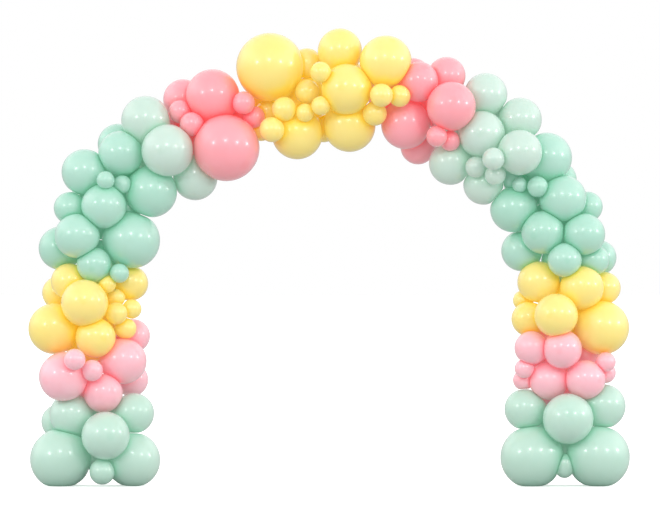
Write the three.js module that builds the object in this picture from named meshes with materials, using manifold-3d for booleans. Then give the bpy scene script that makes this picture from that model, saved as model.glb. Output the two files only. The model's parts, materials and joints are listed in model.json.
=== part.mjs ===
// A free-standing arch made of a balloon garland: latex balloons of three sizes tied side by side along one
// curved spine, in runs of one colour each. Millimetres, +X to the right, +Y to the back, +Z up.
// The balloons are modelled blown up and pressed together, flat where they meet a neighbour or the floor.
import * as THREE from "three";
import { ConvexGeometry } from "three/addons/geometries/ConvexGeometry.js";
import { mergeVertices } from "three/addons/utils/BufferGeometryUtils.js";
import Module from "manifold-3d";

const wasm = await Module();
wasm.setup();

// Driving dimensions.
const SPAN = 2350; // between the middles of the two legs
const SPRING_HEIGHT = 930; // where the legs begin to curve
const CROWN_HEIGHT = 1970; // middle of the garland at the top
const SPINE_STEPS = 400;
const REAR_DIAMETER = 220; // the plain row along the back
const REAR_START = 300; // the row begins above the foot balloons
const REAR_PITCH = 205;
const REAR_SWAY = 110; // how far off the spine a rear balloon may slip, to each side in so many steps
const SWAY_STEPS = 8;
const CORE = 190; // within this distance of the spine no daylight shows between the balloons
const LOOK = 15; // steps in which daylight is looked for
const STICK_OUT_PRICE = 2; // steps of daylight that one step stuck out is worth
const DEPTH_PRICE = 4; // how much further back a rear balloon may lie to close one step of daylight

// How the balloons press together and how their skin is shaped.
const SQUEEZE = 0.85; // centre distance of two pressed balloons, as a share of their radii together
const MINI_SQUEEZE = 0.92; // the small ones are harder
const STAND_OUT = 0.7; // nearest a centre comes to the spine, in radii
const NEIGHBOUR_REACH = 1.1; // farthest that two balloons press, as a share of their radii together
const NECK_STRETCH = 0.08; // how much further than round the skin reaches towards the neck
const DROP_STRETCH = 0.7; // the same on a small one squeezed to a drop
const FULLNESS = 1.015; // once laid, the balloons are blown up by this much more
const GAP = 0.3; // between two balloons of different nodes
const LAP = 1; // overlap of two balloons in one node

// Facets.
const MOST_NODES = 60;
const MOST_TIED = 4; // balloons in one cluster
const TIED_PRESS = 0.95; // tied only where their centres are this near, as a share of their radii together
const SKIN_POINTS = [ // [up to this radius, points over the skin]
  [75, 10],
  [112, 17],
  [127, 21],
  [Infinity, 28],
];
const CONTACT_SIDES = 4;
const FLOOR_SIDES = 8;
const CLEAR_ANGLE = 0.3; // no skin point this near the edge of a flat, radians
const LEAST_FLAT = 0.28; // smallest flat between two clusters that gets its own facet, radians

// Latex colours, each a colour, a roughness and no metal.
const LATEX = {
  light_mint: 0xbfe6d5,
  mint: 0x9fdcc0,
  pale_mint: 0xd3e8dc,
  pink: 0xfbb9c9,
  coral: 0xfb97a0,
  yellow: 0xfbe480,
};

// Every balloon seen from the front: [across from the middle, height of the centre, diameter], and on some
// how far they are pulled forward of where they settle. The layers are laid in this order:
// tucked and drops: small ones beside the spine, the drops squeezed to a point
// sides: beside the spine
// front: over those
// minis: over all of them
// behind: at the back
// Within a layer the garland is laid from both feet up to the crown.
const RUNS = [
  {
    name: "left_foot",
    latex: "light_mint",
    sides: [[-1351, 138, 294, 10], [-985, 134, 272, 15], [-980, 363, 200], [-1295, 355, 212]],
    front: [[-1115, 255, 235]],
    minis: [[-1135, 75, 125]],
    behind: [[-1362, 320, 170], [-1185, 135, 110], [-1242, 249, 100], [-1330, 116, 240], [-1000, 116, 240]],
  },
  {
    name: "left_pink",
    latex: "pink",
    sides: [[-1330, 548, 240, 80], [-1030, 625, 225]],
    front: [[-1130, 465, 190]],
    minis: [[-1270, 635, 106], [-1185, 580, 106]],
    behind: [[-985, 750, 165], [-995, 530, 165]],
  },
  {
    name: "left_yellow",
    latex: "yellow",
    sides: [[-1380, 786, 250], [-1305, 1022, 178]],
    front: [[-1170, 743, 198], [-1225, 915, 230]],
    minis: [[-1110, 1010, 86], [-1065, 943, 86], [-990, 885, 96], [-1020, 788, 105], [-1065, 863, 110]],
    behind: [[-1357, 965, 170], [-997, 1013, 172], [-1080, 805, 110]],
  },
  {
    name: "left_mint",
    latex: "mint",
    sides: [[-1178, 1107, 172], [-990, 1228, 278], [-1262, 1250, 220], [-893, 1472, 254], [-1228, 1570, 225]],
    front: [[-1130, 1400, 222, 40], [-1046, 1663, 218, 30]],
    minis: [[-1049, 1064, 94], [-1118, 1527, 88], [-1036, 1508, 89]],
    behind: [
      [-1351, 1190, 212], [-1300, 1390, 158], [-1062, 1710, 202], [-1003, 1385, 120], [-1240, 1452, 110],
    ],
  },
  {
    name: "left_pale",
    latex: "pale_mint",
    sides: [[-922, 1827, 240]],
    front: [[-810, 1676, 256]],
    behind: [[-673, 1540, 218]],
  },
  {
    name: "left_coral",
    latex: "coral",
    sides: [[-586, 1950, 263], [-519, 1686, 325, 60]],
    minis: [[-750, 1872, 112], [-690, 1808, 118], [-379, 1842, 106], [-432, 1914, 112]],
    behind: [[-735, 1935, 200], [-790, 1820, 110]],
  },
  {
    name: "right_foot",
    latex: "light_mint",
    sides: [[1340, 150, 310, 20], [1004, 149, 306, 30], [975, 383, 204], [1365, 398, 220]],
    front: [[1187, 339, 248, 30]],
    drops: [[1169, 88, 90, 30]],
    behind: [[1172, 175, 110], [1325, 116, 240], [1020, 116, 240]],
  },
  {
    name: "right_pink",
    latex: "pink",
    tucked: [[966, 530, 103], [968, 588, 95], [1375, 567, 104], [1374, 621, 98]],
    sides: [[1003, 692, 165], [1088, 528, 190], [1277, 533, 193], [1157, 686, 190, 50]],
    behind: [[1285, 660, 140], [1080, 425, 110], [1023, 606, 110]],
  },
  {
    name: "right_yellow",
    latex: "yellow",
    sides: [[1355, 790, 270], [992, 836, 171], [1040, 1019, 205], [1259, 991, 213, 50]],
    front: [[1124, 854, 212, 50]],
    behind: [[1372, 990, 162], [965, 928, 100], [1212, 778, 110]],
  },
  {
    name: "right_mint",
    latex: "mint",
    sides: [
      [1320, 1130, 150, -80], [1269, 1258, 205], [916, 1384, 228], [1165, 1437, 228, 40], [1082, 1640, 250],
    ],
    front: [[1169, 1130, 168, 40], [1060, 1267, 211]],
    minis: [[945, 1504, 75], [1035, 1495, 103]],
    behind: [[959, 1177, 202], [1288, 1397, 150], [1150, 1535, 170], [1348, 1142, 174], [908, 1530, 100]],
  },
  {
    name: "right_pale",
    latex: "pale_mint",
    sides: [[948, 1830, 215], [778, 1956, 213], [768, 1508, 200], [602, 1613, 212]],
    front: [[945, 1667, 221], [757, 1758, 230]],
    minis: [[726, 1592, 104], [822, 1555, 105], [813, 1632, 111]],
    behind: [[835, 1855, 110], [713, 1646, 100]],
  },
  {
    name: "right_coral",
    latex: "coral",
    sides: [[582, 2050, 186], [443, 2020, 195]],
    front: [[604, 1896, 240, 50], [378, 1806, 242]],
    minis: [[598, 1723, 100], [531, 1744, 103]],
    behind: [[441, 1698, 174], [415, 2055, 170]],
  },
  {
    name: "top_yellow",
    latex: "yellow",
    sides: [[48, 2174, 220], [-301, 2097, 330], [277, 2119, 255, 100], [-163, 1763, 252], [97, 1800, 256]],
    front: [[83, 1981, 250]],
    minis: [
      [-115, 1971, 120], [-46, 2064, 104], [-45, 1897, 93], [-124, 1862, 90], [-228, 1881, 120],
      [-289, 1779, 124], [346, 1946, 108], [222, 1859, 120], [256, 1949, 115],
    ],
    behind: [[-117, 2115, 150], [-315, 1872, 110], [-345, 1775, 100], [-32, 1790, 140]],
  },
];

// The line that the balloons are tied along, seen from the front.
const spine = new THREE.Path()
  .moveTo(-SPAN / 2, 0)
  .lineTo(-SPAN / 2, SPRING_HEIGHT)
  .absellipse(0, SPRING_HEIGHT, SPAN / 2, CROWN_HEIGHT - SPRING_HEIGHT, Math.PI, 0, true)
  .lineTo(SPAN / 2, 0);
const spinePoints = spine.getSpacedPoints(SPINE_STEPS).map(({ x, y }) => new THREE.Vector3(x, 0, y));

function nearestOnSpine(place) {
  const nearer = (a, b) => (b.distanceToSquared(place) < a.distanceToSquared(place) ? b : a);
  return spinePoints.reduce(nearer);
}

// The order in which the layers are laid, and the side each one comes in from: -1 the front, 1 the back.
const LAYERS = { tucked: -1, drops: -1, sides: -1, front: -1, minis: -1, behind: 1 };

function plannedBalloons() {
  return Object.entries(LAYERS).flatMap(([layer, side]) =>
    RUNS.flatMap((run) =>
      (run[layer] ?? []).map(([x, z, diameter, forward = 0]) => ({
        run,
        layer,
        side,
        forward,
        centre: new THREE.Vector3(x, 0, z),
        radius: diameter / 2,
      })),
    ),
  );
}

// The depth at which a balloon stops when it comes in from its side and presses on those already laid.
function settledDepth({ centre, radius, side, layer, forward }, laid) {
  const flat = centre.clone().setY(0);
  const offSpine = nearestOnSpine(flat).distanceTo(flat);
  const squeeze = layer === "minis" ? MINI_SQUEEZE : SQUEEZE;
  let depth = Math.sqrt(Math.max(0, (STAND_OUT * radius) ** 2 - offSpine ** 2));
  for (const other of laid) {
    const pressed = squeeze * (radius + other.radius);
    const apart = Math.hypot(centre.x - other.centre.x, centre.z - other.centre.z);
    if (apart >= pressed) continue;
    depth = Math.max(depth, side * other.centre.y + Math.sqrt(pressed ** 2 - apart ** 2));
  }
  return side * depth - forward;
}

// How many steps of daylight a rear balloon would close, less what of it would stick out.
function daylightClosed(rear, laid) {
  const { centre, radius } = rear;
  let closed = 0;
  for (let x = centre.x - radius; x <= centre.x + radius; x += LOOK) {
    for (let z = centre.z - radius; z <= centre.z + radius; z += LOOK) {
      const covered = (balloon) => Math.hypot(x - balloon.centre.x, z - balloon.centre.z) < balloon.radius;
      if (!covered(rear) || laid.some(covered)) continue;
      const place = new THREE.Vector3(x, 0, z);
      closed += nearestOnSpine(place).distanceTo(place) < CORE ? 1 : -STICK_OUT_PRICE;
    }
  }
  return closed;
}

// A plain balloon at the back, slipped sideways to where it closes most daylight and still lies deep.
function rearBalloon(along, laid) {
  const middle = spine.getPoint(along);
  const across = spine.getTangent(along).rotateAround(new THREE.Vector2(), -Math.PI / 2);
  let best = null;
  for (let step = -SWAY_STEPS; step <= SWAY_STEPS; step += 1) {
    const { x, y } = middle.clone().addScaledVector(across, (step / SWAY_STEPS) * REAR_SWAY);
    const centre = new THREE.Vector3(x, 0, y);
    const balloon = { layer: "behind", side: 1, forward: 0, centre, radius: REAR_DIAMETER / 2 };
    balloon.centre.y = settledDepth(balloon, laid);
    balloon.worth = daylightClosed(balloon, laid) - balloon.centre.y / DEPTH_PRICE;
    if (!best || balloon.worth > best.worth) best = balloon;
  }
  const apart = ({ centre }) => Math.hypot(centre.x - best.centre.x, centre.z - best.centre.z);
  const inFront = laid.filter(({ layer }) => layer === "sides" || layer === "front");
  best.run = inFront.reduce((a, b) => (apart(b) < apart(a) ? b : a)).run;
  return best;
}

function layBalloons() {
  const laid = [];
  for (const balloon of plannedBalloons()) {
    balloon.centre.y = settledDepth(balloon, laid);
    laid.push(balloon);
  }
  const length = spine.getLength();
  const steps = Math.round((length - 2 * REAR_START) / REAR_PITCH);
  for (let i = 0; i <= steps; i += 1) {
    const distance = THREE.MathUtils.lerp(REAR_START, length - REAR_START, i / steps);
    laid.push(rearBalloon(distance / length, laid));
  }
  for (const balloon of laid) balloon.radius *= FULLNESS;
  return laid;
}

// A cluster is one solid: a balloon, or balloons of one run that are tied where they touch. The smallest
// joins the neighbour that it presses hardest, until few enough clusters are left.
function tiedClusters(balloons) {
  const clusters = balloons.map((balloon) => [balloon]);
  const size = (cluster) => Math.max(...cluster.map(({ radius }) => radius));
  const press = (a, b) => a.centre.distanceTo(b.centre) / (a.radius + b.radius);
  const hardest = (one, other) => Math.min(...one.flatMap((a) => other.map((b) => press(a, b))));
  while (clusters.length > MOST_NODES) {
    let best = null;
    for (const small of clusters) {
      for (const other of clusters) {
        if (small === other || small[0].run !== other[0].run || size(small) > size(other)) continue;
        if (small[0].layer === "drops" || small.length + other.length > MOST_TIED) continue;
        const pressed = hardest(small, other);
        if (pressed > TIED_PRESS) continue;
        if (!best || size(small) < size(best.small) || (small === best.small && pressed < best.pressed)) {
          best = { small, other, pressed };
        }
      }
    }
    if (!best) break;
    best.other.push(...best.small);
    clusters.splice(clusters.indexOf(best.small), 1);
  }
  return clusters;
}

// How far the skin reaches from the balloon's centre in a direction.
function skinReach({ radius, neck, stretch }, direction) {
  return radius * (1 + stretch * ((1 + direction.dot(neck)) / 2) ** 3);
}

// The flats of a balloon: each a unit normal, its distance from the centre and the smallest that gets cut.
function flatsOf(balloon, balloons, cluster) {
  const flats = [];
  for (const other of balloons) {
    if (other === balloon) continue;
    const normal = other.centre.clone().sub(balloon.centre);
    const apart = normal.length();
    if (apart > NEIGHBOUR_REACH * (balloon.radius + other.radius)) continue;
    const middle = (apart ** 2 + balloon.radius ** 2 - other.radius ** 2) / (2 * apart);
    const tied = cluster.includes(other);
    const distance = tied ? middle + LAP / 2 : middle - GAP / 2;
    flats.push({ normal: normal.normalize(), distance, sides: CONTACT_SIDES, least: tied ? 0 : LEAST_FLAT });
  }
  const down = new THREE.Vector3(0, 0, -1);
  flats.push({ normal: down, distance: balloon.centre.z, sides: FLOOR_SIDES, least: 0 });
  return flats;
}

// The angle from a flat's normal at which the skin meets the flat, in the plane of the normal and a side.
function edgeAngle(balloon, { normal, distance }, side) {
  const direction = new THREE.Vector3();
  const rise = (angle) => {
    direction.copy(normal).multiplyScalar(Math.cos(angle)).addScaledVector(side, Math.sin(angle));
    return skinReach(balloon, direction) * Math.cos(angle) - distance;
  };
  let low = 0;
  let high = Math.PI / 2;
  while (high - low > 1e-9) {
    const middle = (low + high) / 2;
    if (rise(middle) > 0) low = middle;
    else high = middle;
  }
  return low;
}

// Points round the edge of a flat, evenly spaced, and the widest angle that they stand at.
function flatEdge(balloon, flat) {
  const { normal, distance, sides } = flat;
  const across = new THREE.Vector3(normal.y, normal.z, normal.x).cross(normal).normalize();
  const points = [];
  let widest = 0;
  for (let i = 0; i < sides; i += 1) {
    const side = across.clone().applyAxisAngle(normal, (2 * Math.PI * i) / sides);
    const angle = edgeAngle(balloon, flat, side);
    widest = Math.max(widest, angle);
    points.push(normal.clone().multiplyScalar(distance).addScaledVector(side, distance * Math.tan(angle)));
  }
  return { points: widest > flat.least ? points : [], widest };
}

// Directions spread evenly over a sphere along a spiral.
function spiral(count) {
  const turn = Math.PI * (3 - Math.sqrt(5));
  return Array.from({ length: count }, (_, i) => {
    const height = 1 - (2 * i + 1) / count;
    return new THREE.Vector3().setFromCylindricalCoords(Math.sqrt(1 - height ** 2), turn * i, height);
  });
}

// One balloon about its own centre: the hull of points on its skin and round its flats.
function balloonGeometry(balloon, flats) {
  const touched = flats.filter(({ normal, distance }) => skinReach(balloon, normal) > distance);
  const edges = touched.map((flat) => ({ ...flat, ...flatEdge(balloon, flat) }));
  const count = SKIN_POINTS.find(([limit]) => balloon.radius <= limit)[1];
  const free = spiral(count).filter((direction) =>
    edges.every(({ normal, widest }) => direction.angleTo(normal) > widest + CLEAR_ANGLE),
  );
  const skin = free.map((direction) => direction.clone().multiplyScalar(skinReach(balloon, direction)));
  const inside = (point) => flats.every(({ normal, distance }) => point.dot(normal) < distance + 1e-6);
  return new ConvexGeometry([...skin, ...edges.flatMap(({ points }) => points)].filter(inside));
}

function toSolid(geometry) {
  const bare = new THREE.BufferGeometry().setAttribute("position", geometry.getAttribute("position"));
  const merged = mergeVertices(bare, 1e-4);
  return new wasm.Manifold(
    new wasm.Mesh({
      numProp: 3,
      vertProperties: new Float32Array(merged.getAttribute("position").array),
      triVerts: new Uint32Array(merged.index.array),
    }),
  );
}

function fromSolid(solid) {
  const { vertProperties, triVerts } = solid.getMesh();
  const geometry = new THREE.BufferGeometry();
  geometry.setAttribute("position", new THREE.BufferAttribute(vertProperties, 3));
  geometry.setIndex(new THREE.BufferAttribute(triVerts, 1));
  return geometry;
}

// A cluster as a mesh placed at its biggest balloon.
function clusterMesh(cluster, balloons, name, material) {
  const origin = cluster[0].centre;
  const parts = cluster.map((balloon) => {
    const offset = balloon.centre.clone().sub(origin);
    return balloonGeometry(balloon, flatsOf(balloon, balloons, cluster)).translate(...offset);
  });
  const geometry = parts.length === 1 ? parts[0] : fromSolid(parts.map(toSolid).reduce((a, b) => a.add(b)));
  const mesh = new THREE.Mesh(geometry, material);
  mesh.name = name;
  mesh.position.copy(origin);
  return mesh;
}

const materials = Object.fromEntries(
  Object.entries(LATEX).map(([name, color]) => [
    name,
    new THREE.MeshStandardMaterial({ name, color, roughness: 0.35, metalness: 0, flatShading: true }),
  ]),
);

function kindOf(cluster) {
  if (cluster.length > 1) return "cluster";
  return cluster[0].layer === "drops" ? "drop" : "balloon";
}

function buildGarland() {
  const balloons = layBalloons();
  for (const balloon of balloons) {
    const drop = balloon.layer === "drops";
    balloon.stretch = drop ? DROP_STRETCH : NECK_STRETCH;
    balloon.neck = drop
      ? new THREE.Vector3(0, 0, 1)
      : nearestOnSpine(balloon.centre).clone().sub(balloon.centre).normalize();
  }
  const clusters = tiedClusters(balloons);
  const garland = new THREE.Group();
  for (const run of RUNS) {
    clusters
      .filter(([first]) => first.run === run)
      .sort(([a], [b]) => a.centre.z - b.centre.z)
      .forEach((cluster, i) => {
        const name = `${run.name}_${kindOf(cluster)}_${i + 1}`;
        garland.add(clusterMesh(cluster, balloons, name, materials[run.latex]));
      });
  }
  return garland;
}

// The origin is under the middle of the garland, on the floor.
const garland = buildGarland();
const middle = new THREE.Box3().setFromObject(garland, true).getCenter(new THREE.Vector3());
garland.position.set(-middle.x, -middle.y, 0);

export default garland;
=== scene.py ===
"""The finish of a balloon garland arch.

Each balloon is measured on its faceted solid and blown up again as a smooth skin with a neck, a knot and
a rolled lip. The skin is pressed flat where the balloon meets a neighbour or the floor. Lengths are metres,
in the frame of the solids.
"""

import json
import math
from dataclasses import dataclass, field

import bmesh
import bpy
import numpy as np
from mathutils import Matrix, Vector


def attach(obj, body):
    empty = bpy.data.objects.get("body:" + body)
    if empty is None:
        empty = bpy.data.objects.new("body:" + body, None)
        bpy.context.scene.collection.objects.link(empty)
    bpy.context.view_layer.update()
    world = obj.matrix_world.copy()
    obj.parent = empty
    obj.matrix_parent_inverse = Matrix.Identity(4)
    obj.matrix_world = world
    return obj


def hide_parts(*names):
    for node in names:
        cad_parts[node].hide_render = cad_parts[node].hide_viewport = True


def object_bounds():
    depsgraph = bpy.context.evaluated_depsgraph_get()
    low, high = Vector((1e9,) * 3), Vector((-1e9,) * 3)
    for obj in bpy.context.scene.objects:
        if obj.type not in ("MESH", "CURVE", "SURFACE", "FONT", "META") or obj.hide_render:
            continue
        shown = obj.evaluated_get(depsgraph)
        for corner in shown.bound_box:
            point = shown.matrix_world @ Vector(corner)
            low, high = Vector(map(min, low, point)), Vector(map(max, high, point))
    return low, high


# How the skin is shaped and pressed.
NECK_STRETCH = 0.08  # how much further than round the skin reaches towards the neck
DROP_STRETCH = 0.7  # the same on the small one squeezed to a drop
STRETCH_POWER = 3  # the higher it is, the nearer to the neck the stretch begins
CONTACT_GAP = 0.0003
NEIGHBOUR_REACH = 1.1  # balloons nearer than this share of their radii together may press
EDGE_SHARPNESS = 30  # how tightly the skin turns round the edge of a flat
CREVICE_SPREAD = 7  # how quickly the painted shade and painted glow of a crevice fade away from it

# How finely a skin is meshed: up to this radius, the segments round the neck and the rings from tail to neck.
SKIN_MESH = [(0.07, 36, 24), (0.13, 52, 36), (math.inf, 64, 44)]
FIRST_SEGMENT = (0.31, 0.95, 0.12)  # the segments start square to the neck and to this direction

# Neck, knot and lip, as shares of the balloon's radius.
NECK_ROOT_ANGLE = 0.2  # where the neck begins to draw in, radians off its axis
NECK_RADIUS = 0.035
NECK_LENGTH = 0.13
KNOT_RADIUS = 0.062
TAIL_LENGTH = 0.09
LIP_RADIUS = 0.085
LIP_ROLL = 0.014

# Their curves, with turns in radians, and the rings that each is made of.
NECK_CURVE = 2.5
KNOT_TURN = 1.2
LIP_TURN = (-0.5, 3.6)
NECK_RINGS = 6
KNOT_RINGS = 7
TAIL_RINGS = 4
LIP_RINGS = 6
MOUTH_RINGS = (0.6, 0.3)  # shares of the lip's radius
MOUTH_DEPTH = 0.5  # how deep the mouth dips inside the lip, as a share of the tail

# Measuring a balloon on its solid.
WELD = 1e-6
CREASE_ANGLE = math.radians(20)
FIT_ROUNDS = 6
FIT_SLACK = 0.0006
FIT_SPREAD = 1.5  # points further off the sphere than this many times the middle one are left out
SURROUNDINGS = 0.4  # how far round a balloon the garland is looked at for its middle
LEAST_FACING = 1e-3  # planes that face the neck less than this are far along it


# Shader maths written as expressions.

class Shade:
    """A shader socket that adds nodes when it is used in an expression."""

    def __init__(self, tree, socket):
        self.tree = tree
        self.socket = socket

    def node(self, kind, settings=None, inputs=None, output=0):
        """Adds a node, with its settings made first and then the values or links of its sockets."""
        made = self.tree.nodes.new(kind)
        for name, value in (settings or {}).items():
            setattr(made, name, value)
        for name, value in (inputs or {}).items():
            self.fill(made.inputs[name], value)
        return Shade(self.tree, made.outputs[output])

    def fill(self, socket, value):
        if isinstance(value, Shade):
            self.tree.links.new(value.socket, socket)
        else:
            socket.default_value = value

    def maths(self, operation, *values, clamp=False):
        inputs = dict(enumerate(values))
        return self.node("ShaderNodeMath", {"operation": operation, "use_clamp": clamp}, inputs)

    def __add__(self, other):
        return self.maths("ADD", self, other)

    __radd__ = __add__

    def __sub__(self, other):
        return self.maths("SUBTRACT", self, other)

    def __rsub__(self, other):
        return self.maths("SUBTRACT", other, self)

    def __mul__(self, other):
        return self.maths("MULTIPLY", self, other)

    __rmul__ = __mul__

    def clamped(self):
        return self.maths("ADD", self, 0.0, clamp=True)

    def between(self, low, high):
        """This value spread so that low becomes 0 and high becomes 1, with soft ends."""
        inputs = {"Value": self, "From Min": low, "From Max": high}
        return self.node("ShaderNodeMapRange", {"interpolation_type": "SMOOTHSTEP"}, inputs)

    def mixed(self, first, second):
        """The colour first where this value is 0 and second where it is 1."""
        made = self.tree.nodes.new("ShaderNodeMix")
        made.data_type = "RGBA"
        self.fill(made.inputs["Factor"], self)
        ends = [socket for socket in made.inputs if socket.type == "RGBA"]
        self.fill(ends[0], first)
        self.fill(ends[1], second)
        return Shade(self.tree, next(out for out in made.outputs if out.type == "RGBA"))


# The balloons.

@dataclass
class Balloon:
    """A balloon measured on its solid, with the planes that press on it."""

    node: str
    points: np.ndarray
    centre: np.ndarray = None
    radius: float = 0.0
    neck: np.ndarray = None
    stretch: float = NECK_STRETCH
    normals: list = field(default_factory=list)
    distances: list = field(default_factory=list)


def length(vectors):
    return np.linalg.norm(vectors, axis=-1)


def unit(vector):
    return vector / length(vector)


def steps(count):
    """Even shares of the way up to 1, without the start."""
    return np.linspace(0, 1, count + 1)[1:]


def solid_points(mesh):
    """The corners of each balloon in a solid, parted along the creases where two balloons meet."""
    shell = bmesh.new()
    shell.from_mesh(mesh)
    bmesh.ops.remove_doubles(shell, verts=shell.verts, dist=WELD)
    unseen = set(shell.faces)
    parts = []
    for first in shell.faces:
        if first not in unseen:
            continue
        unseen.remove(first)
        front = [first]
        corners = set()
        while front:
            face = front.pop()
            corners.update(face.verts)
            for edge in face.edges:
                if edge.calc_face_angle_signed(0) < -CREASE_ANGLE:
                    continue
                beyond = [other for other in edge.link_faces if other in unseen]
                unseen.difference_update(beyond)
                front.extend(beyond)
        parts.append(np.array(sorted(corner.co[:] for corner in corners)))
    shell.free()
    return parts


def fitted_sphere(points):
    """Centre and radius of the sphere that fits the points, leaving out those that stand off it."""
    kept = points
    for _ in range(FIT_ROUNDS):
        rows = np.column_stack((2 * kept, np.ones(len(kept))))
        *centre, rest = np.linalg.lstsq(rows, (kept ** 2).sum(axis=1), rcond=None)[0]
        centre = np.array(centre)
        radius = math.sqrt(rest + centre @ centre)
        off = np.abs(length(points - centre) - radius)
        kept = points[off <= max(FIT_SLACK, FIT_SPREAD * np.median(off))]
    return centre, radius


def skin_reach(balloon, facing):
    """How far a skin that nothing presses reaches, where facing is 1 towards the neck and -1 away from it."""
    return balloon.radius * (1 + balloon.stretch * ((1 + facing) / 2) ** STRETCH_POWER)


def measure(balloon):
    """Fits the balloon's round part, with the stretch towards the neck taken off its points."""
    for _ in range(FIT_ROUNDS):
        offsets = balloon.points - balloon.centre
        facing = offsets / length(offsets)[:, None] @ balloon.neck
        stretched = skin_reach(balloon, facing) / balloon.radius
        balloon.centre, balloon.radius = fitted_sphere(balloon.centre + offsets / stretched[:, None])


def found_balloons():
    """The balloons of all the solids, each with its neck turned to the middle of the garland about it."""
    balloons = []
    for name, solid in sorted(frame["nodes"].items()):
        for points in solid_points(solid.data):
            balloon = Balloon(name, points)
            balloon.centre, balloon.radius = fitted_sphere(points)
            balloons.append(balloon)
    centres = np.array([balloon.centre for balloon in balloons])
    volumes = np.array([balloon.radius for balloon in balloons]) ** 3
    for balloon in balloons:
        weights = volumes * np.clip(1 - length(centres - balloon.centre) / SURROUNDINGS, 0, None)
        middle = weights @ centres / weights.sum()
        balloon.neck = unit(middle - balloon.centre)
        if "_drop_" in balloon.node:
            balloon.neck = np.array([0.0, 0.0, 1.0])
            balloon.stretch = DROP_STRETCH
        measure(balloon)
    return balloons


def press_together(balloons):
    """Gives each balloon the planes on which its neighbours and the floor press it."""
    for balloon in balloons:
        for other in balloons:
            apart = length(other.centre - balloon.centre)
            if other is balloon or apart > NEIGHBOUR_REACH * (balloon.radius + other.radius):
                continue
            middle = (apart ** 2 + balloon.radius ** 2 - other.radius ** 2) / (2 * apart)
            balloon.normals.append((other.centre - balloon.centre) / apart)
            balloon.distances.append(middle - CONTACT_GAP / 2)
        balloon.normals.append(np.array([0.0, 0.0, -1.0]))
        balloon.distances.append(balloon.centre[2])
        balloon.normals = np.array(balloon.normals)
        balloon.distances = np.array(balloon.distances)


def pressing(balloon, offsets, power):
    """How hard the planes press on points at these offsets: small where they are free, 1 on a plane."""
    heights = np.clip(offsets @ balloon.normals.T, 0, None) / balloon.distances
    return (heights ** power).sum(axis=1)


def neck_room(balloon):
    """How far the balloon's own space reaches along its neck."""
    facing = np.clip(balloon.normals @ balloon.neck, LEAST_FACING, None)
    return (balloon.distances / facing).min()


def neck_profile(start, radius, room):
    """Points (along the axis, off the axis) of the neck, knot and lip, from the skin's edge into the mouth.

    Where the room along the axis is short, all of them are shortened alike along it.
    """
    along, off = start
    whole = radius * (NECK_LENGTH + 2 * KNOT_RADIUS + TAIL_LENGTH)
    scale = radius * min(1, (room - along) / whole)
    points = []

    neck_off = radius * NECK_RADIUS
    for share in steps(NECK_RINGS):
        flare = (1 - share) ** NECK_CURVE * (off - neck_off)
        points.append((along + share * scale * NECK_LENGTH, neck_off + flare))

    knot_middle = along + scale * (NECK_LENGTH + KNOT_RADIUS)
    for turn in np.linspace(-KNOT_TURN, KNOT_TURN, KNOT_RINGS):
        bulge = radius * (KNOT_RADIUS - NECK_RADIUS) * math.cos(turn)
        points.append((knot_middle + scale * KNOT_RADIUS * math.sin(turn), neck_off + bulge))

    tail_along, tail_off = points[-1]
    lip_off = radius * LIP_RADIUS
    for share in steps(TAIL_RINGS):
        flare = share ** 2 * (lip_off - tail_off)
        points.append((tail_along + share * scale * TAIL_LENGTH, tail_off + flare))

    lip_along = points[-1][0]
    for turn in np.linspace(*LIP_TURN, LIP_RINGS):
        roll = radius * LIP_ROLL * math.cos(turn)
        points.append((lip_along + scale * LIP_ROLL * math.sin(turn), lip_off + roll))
    for share in MOUTH_RINGS:
        points.append((lip_along - scale * TAIL_LENGTH * MOUTH_DEPTH * (1 - share), lip_off * share))
    return points


def skin_profile(balloon, rings):
    """Points (along the axis, off the axis) of the whole balloon, from near its tail into its mouth."""
    angles = np.linspace(0, math.pi - NECK_ROOT_ANGLE, rings)[1:]
    facing = -np.cos(angles)
    reach = skin_reach(balloon, facing)
    body = list(zip(reach * facing, reach * np.sin(angles)))
    return body + neck_profile(body[-1], balloon.radius, neck_room(balloon))


def skin_faces(segments, rings):
    """The faces of a skin: a point at the tail, rings of corners and a point in the mouth."""
    last = 1 + rings * segments
    faces = []
    for i in range(segments):
        j = (i + 1) % segments
        faces.append((0, 1 + j, 1 + i))
        for start in range(1, last - segments, segments):
            faces.append((start + i, start + j, start + segments + j, start + segments + i))
        faces.append((last, last - segments + i, last - segments + j))
    return faces


def skin_mesh(balloon, name, tone):
    segments, rings = next(mesh[1:] for mesh in SKIN_MESH if balloon.radius <= mesh[0])
    profile = skin_profile(balloon, rings)
    side = unit(np.cross(balloon.neck, FIRST_SEGMENT))
    other_side = np.cross(balloon.neck, side)
    turns = np.arange(segments) * 2 * math.pi / segments
    around = np.outer(np.cos(turns), side) + np.outer(np.sin(turns), other_side)
    offsets = [-balloon.radius * balloon.neck]
    for along, off in profile:
        offsets.extend(along * balloon.neck + off * around)
    offsets.append(profile[-1][0] * balloon.neck)
    offsets = np.array(offsets)
    pressed = (1 + pressing(balloon, offsets, EDGE_SHARPNESS)) ** (-1 / EDGE_SHARPNESS)
    points = balloon.centre + offsets * pressed[:, None]

    mesh = bpy.data.meshes.new(name)
    mesh.from_pydata(points.tolist(), [], skin_faces(segments, len(profile)))
    mesh.polygons.foreach_set("use_smooth", [True] * len(mesh.polygons))
    attributes = {
        # the crevice mask, 1 where a neighbour presses: it carries the painted shade and the painted glow of
        # the crevices
        "crevice": np.clip(pressing(balloon, offsets, CREVICE_SPREAD), 0, 1),
        "height": offsets @ balloon.neck / balloon.radius,
        "tone": np.full(len(points), tone),
    }
    for attribute, values in attributes.items():
        made = mesh.attributes.new(attribute, "FLOAT", "POINT")
        made.data.foreach_set("value", values.astype(np.float32))
    mesh.validate()
    return mesh


# The latex.

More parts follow.
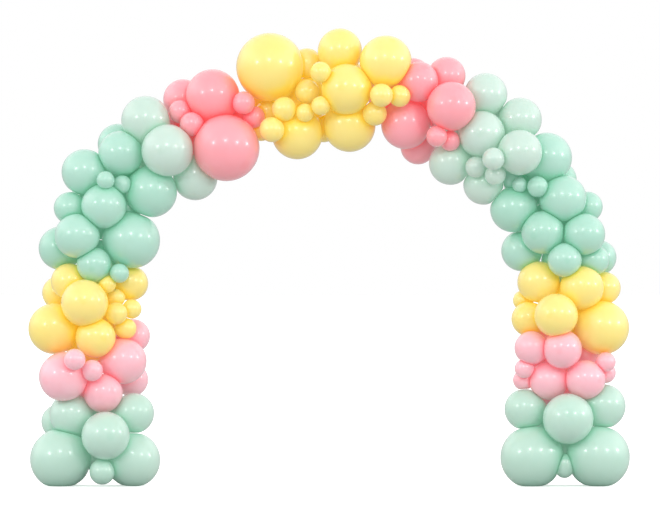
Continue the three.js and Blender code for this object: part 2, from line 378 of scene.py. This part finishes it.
@dataclass
class Latex:
    """A colour of latex: the skin, and the deeper colour where it is thick, which also serves as painted
    shade where it is closed in.
    """

    skin: tuple
    deep: tuple


LATEX = {
    "light_mint": Latex((0.50, 0.70, 0.60), (0.27, 0.58, 0.42)),
    "mint": Latex((0.42, 0.68, 0.57), (0.18, 0.54, 0.35)),
    "pale_mint": Latex((0.55, 0.70, 0.62), (0.37, 0.61, 0.46)),
    "pink": Latex((0.93, 0.51, 0.58), (0.90, 0.27, 0.30)),
    "coral": Latex((0.94, 0.37, 0.42), (0.93, 0.17, 0.17)),
    "yellow": Latex((0.93, 0.75, 0.23), (0.89, 0.63, 0.01)),
}
BLACK = (0, 0, 0, 1)
WHITE = (1, 1, 1, 1)

# How far the colour goes from the skin's own, 0, to the deeper one, 1.
SKIN_DEPTH = 0.06
THICK_DEPTH = 0.6
# painted shade: how far the colour goes deeper where neighbours press, standing in for the shade in the
# crevices
PAINTED_CREVICE_SHADE = 0.55
CLOUD_DEPTH = 0.14
TONE_DEPTH = 0.07
TONE_SEED = 5

# Where the latex is thick: heights above the balloon's middle in radii, towards the neck or towards the tail.
NECK_ZONE = (0.9, 1.15)
TAIL_ZONE = (0.97, 1.0)
TAIL_THICKNESS = 0.25  # how thick the tail is beside the neck

CLOUD_SCALE = 9.0
CLOUD_DETAIL = 2.0
GRAIN_SCALE = 420.0
GRAIN_DETAIL = 1.0
CLOUD_RELIEF = 6.0  # how high the clouds stand beside the grain
RELIEF_STRENGTH = 0.06
RELIEF_HEIGHT = 0.0004

LATEX_ROUGHNESS = 0.36
CLOUD_ROUGHNESS = 0.1
THICK_ROUGHNESS = 0.08
LATEX_COAT = 1.0
LATEX_COAT_ROUGHNESS = 0.2
LATEX_COAT_IOR = 1.45
SCATTER = 0.3
SCATTER_DEPTH = 0.03
SCATTER_SPREAD = (1.0, 0.8, 0.7)
PAINTED_GLOW = 0.12  # painted glow: an even emission in the skin's colour, standing in for light that comes through the latex from inside the balloon
CREVICE_PAINTED_GLOW = 0.08  # painted glow: more of the emission where balloons press, standing in for the light they throw at each other


def latex_material(name, latex):
    """Satin stretched latex: uneven in thickness and deeper at the tail and the neck. In the crevices the
    colour is deepened as painted shade, and a painted glow is added as emission all over, stronger in the
    crevices.
    """
    material = bpy.data.materials.new(f"{name}_latex")
    material.use_nodes = True
    tree = material.node_tree
    shader = tree.nodes["Principled BSDF"]
    start = Shade(tree, None)

    def attribute(wanted):
        return start.node("ShaderNodeAttribute", {"attribute_name": wanted}, output="Fac")

    def noise(scale, detail):
        place = start.node("ShaderNodeTexCoord", output="Object")
        return start.node("ShaderNodeTexNoise", inputs={"Vector": place, "Scale": scale, "Detail": detail})

    clouds = noise(CLOUD_SCALE, CLOUD_DETAIL)
    uneven = clouds - 0.5
    grain = noise(GRAIN_SCALE, GRAIN_DETAIL)
    height = attribute("height")
    crevice = attribute("crevice")

    thick = height.between(*NECK_ZONE) + (-1 * height).between(*TAIL_ZONE) * TAIL_THICKNESS
    # painted shade: the crevice mask deepens the base colour where balloons press together
    depth = thick * THICK_DEPTH + crevice * PAINTED_CREVICE_SHADE + uneven * CLOUD_DEPTH
    depth = (depth + attribute("tone") * TONE_DEPTH + SKIN_DEPTH).clamped()
    colour = depth.mixed((*latex.skin, 1), (*latex.deep, 1))
    relief = {
        "Height": grain + clouds * CLOUD_RELIEF,
        "Strength": RELIEF_STRENGTH,
        "Distance": RELIEF_HEIGHT,
    }
    inputs = {
        "Base Color": colour,
        "Roughness": LATEX_ROUGHNESS + uneven * CLOUD_ROUGHNESS + thick * THICK_ROUGHNESS,
        "Normal": start.node("ShaderNodeBump", inputs=relief),
        # painted glow: emission in the skin's colour all over, stronger in the crevices
        "Emission Color": (crevice * crevice * CREVICE_PAINTED_GLOW + PAINTED_GLOW).mixed(BLACK, colour),
        "Emission Strength": 1.0,
        "Coat Weight": LATEX_COAT,
        "Coat Roughness": LATEX_COAT_ROUGHNESS,
        "Coat IOR": LATEX_COAT_IOR,
        "Subsurface Weight": SCATTER,
        "Subsurface Radius": SCATTER_SPREAD,
        "Subsurface Scale": SCATTER_DEPTH,
    }
    for wanted, value in inputs.items():
        start.fill(shader.inputs[wanted], value)
    return material


def blow_up_garland():
    slots = {part["node"]: part["material_slot"] for part in frame["record"]["subparts"]}
    materials = {name: latex_material(name, latex) for name, latex in LATEX.items()}
    balloons = found_balloons()
    press_together(balloons)
    tones = np.random.default_rng(TONE_SEED).uniform(-1, 1, len(balloons))
    counts = {}
    for balloon, tone in zip(balloons, tones):
        counts[balloon.node] = counts.get(balloon.node, 0) + 1
        name = f"{balloon.node}_skin_{counts[balloon.node]}"
        piece = bpy.data.objects.new(name, skin_mesh(balloon, name, tone))
        bpy.context.scene.collection.objects.link(piece)
        slot = slots[balloon.node]
        piece.data.materials.append(materials[slot])
        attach(piece, "root")
        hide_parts(balloon.node)


# The studio.

FLOOR_SIDE = 400.0
FLOOR_BOUNCE = 0.5
FLOOR_SEEN = 0.92
FLOOR_LIFT = 0.5  # light added to the floor for the eye alone, to keep it white far behind

# How bright the studio is on each side. Between the wall ends a direction's y takes it from a side wall to
# the front or back one, and between the ceiling ends its z takes it from the walls to the ceiling.
FRONT_LIGHT = 1.2
SIDE_LIGHT = 1.8
BACK_LIGHT = 1.0
CEILING_LIGHT = 0.75
WALL_ENDS = (0.2, 0.8)
WALL_FOOT = 0.5  # how bright the walls are where they meet the floor, as a share
WALL_RISE = 0.4  # the z of a direction where they reach their full brightness
CEILING_ENDS = (0.5, 0.9)

LAMP_DISTANCE = 14.0
LAMPS = [(-46, 17), (-4, 27), (38, 20), (78, 14)]  # (turn to the side, height) in degrees
LAMP_SIZE = 0.9
LAMP_POWER = 190.0


def grey(level):
    return (level, level, level, 1)


def lay_floor():
    """A plain pale floor, darker to the light that it throws back than to the eye."""
    half = FLOOR_SIDE / 2
    corners = [(-half, -half, 0), (half, -half, 0), (half, half, 0), (-half, half, 0)]
    mesh = bpy.data.meshes.new("studio_floor")
    mesh.from_pydata(corners, [], [(0, 1, 2, 3)])
    floor = bpy.data.objects.new("studio_floor", mesh)
    bpy.context.scene.collection.objects.link(floor)
    material = bpy.data.materials.new("studio_floor")
    material.use_nodes = True
    tree = material.node_tree
    seen = Shade(tree, None).node("ShaderNodeLightPath", output="Is Camera Ray")
    inputs = {
        "Base Color": seen.mixed(grey(FLOOR_BOUNCE), grey(FLOOR_SEEN)),
        "Emission Color": seen.mixed(BLACK, WHITE),
        "Emission Strength": FLOOR_LIFT,
        "Roughness": 1.0,
        "Specular IOR Level": 0.0,
    }
    for wanted, value in inputs.items():
        seen.fill(tree.nodes["Principled BSDF"].inputs[wanted], value)
    floor.data.materials.append(material)


def light_world():
    """Bright walls to the left and right, dimmer ones in front and behind and a dim ceiling.

    To the eye all of it is white.
    """
    world = bpy.data.worlds.new("studio")
    world.use_nodes = True
    tree = world.node_tree
    start = Shade(tree, None)
    seen = start.node("ShaderNodeLightPath", output="Is Camera Ray")
    direction = start.node("ShaderNodeTexCoord", output="Generated")
    back = start.node("ShaderNodeSeparateXYZ", inputs={"Vector": direction}, output="Y")
    height = start.node("ShaderNodeSeparateXYZ", inputs={"Vector": direction}, output="Z")
    front = (-1 * back).between(*WALL_ENDS)
    rear = back.between(*WALL_ENDS)
    sides = 1 - front - rear
    foot = WALL_FOOT + (1 - WALL_FOOT) * height.between(0, WALL_RISE)
    walls = (front * FRONT_LIGHT + sides * SIDE_LIGHT + rear * BACK_LIGHT) * foot
    ceiling = height.between(*CEILING_ENDS)
    light = ceiling * CEILING_LIGHT + (1 - ceiling) * walls
    background = tree.nodes["Background"]
    start.fill(background.inputs["Color"], WHITE)
    start.fill(background.inputs["Strength"], seen + (1 - seen) * light)
    bpy.context.scene.world = world


def light_garland(middle):
    """A row of small lamps high in front, whose images glint on the skins."""
    for number, (turn, height) in enumerate(LAMPS):
        turn, height = math.radians(turn), math.radians(height)
        level = math.cos(height)
        away = Vector((level * math.sin(turn), -level * math.cos(turn), math.sin(height)))
        data = bpy.data.lights.new(f"lamp_{number + 1}", "AREA")
        data.shape = "DISK"
        data.size = LAMP_SIZE
        data.energy = LAMP_POWER
        lamp = bpy.data.objects.new(data.name, data)
        lamp.location = middle + away * LAMP_DISTANCE
        lamp.rotation_euler = (-away).to_track_quat("-Z", "Y").to_euler()
        bpy.context.scene.collection.objects.link(lamp)


# The eye stands far off and level, so the arch shows square on.
EYE_DISTANCE = 38.0
EYE_HEIGHT = 1.13
EYE_ACROSS = 0.005
VIEW_WIDTH = 3.3
SENSOR_WIDTH = 36.0


def place_camera(middle):
    data = bpy.data.cameras.new("eye")
    data.sensor_width = SENSOR_WIDTH
    data.lens = SENSOR_WIDTH * EYE_DISTANCE / VIEW_WIDTH
    data.clip_end = FLOOR_SIDE
    camera = bpy.data.objects.new("eye", data)
    camera.location = (EYE_ACROSS, middle.y - EYE_DISTANCE, EYE_HEIGHT)
    camera.rotation_euler = (math.pi / 2, 0, 0)
    bpy.context.scene.collection.objects.link(camera)
    bpy.context.scene.camera = camera


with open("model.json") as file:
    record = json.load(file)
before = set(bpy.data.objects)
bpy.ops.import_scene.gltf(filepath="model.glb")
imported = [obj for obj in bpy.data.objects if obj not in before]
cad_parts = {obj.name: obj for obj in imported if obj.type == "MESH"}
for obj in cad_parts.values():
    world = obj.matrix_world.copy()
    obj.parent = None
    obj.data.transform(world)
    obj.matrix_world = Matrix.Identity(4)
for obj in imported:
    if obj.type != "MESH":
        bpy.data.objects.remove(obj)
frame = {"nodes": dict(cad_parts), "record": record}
cad_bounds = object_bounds()
middle_of_arch = (cad_bounds[0] + cad_bounds[1]) / 2

place_camera(middle_of_arch)
blow_up_garland()
lay_floor()
light_world()
light_garland(middle_of_arch)
bpy.context.scene.view_settings.view_transform = "Standard"
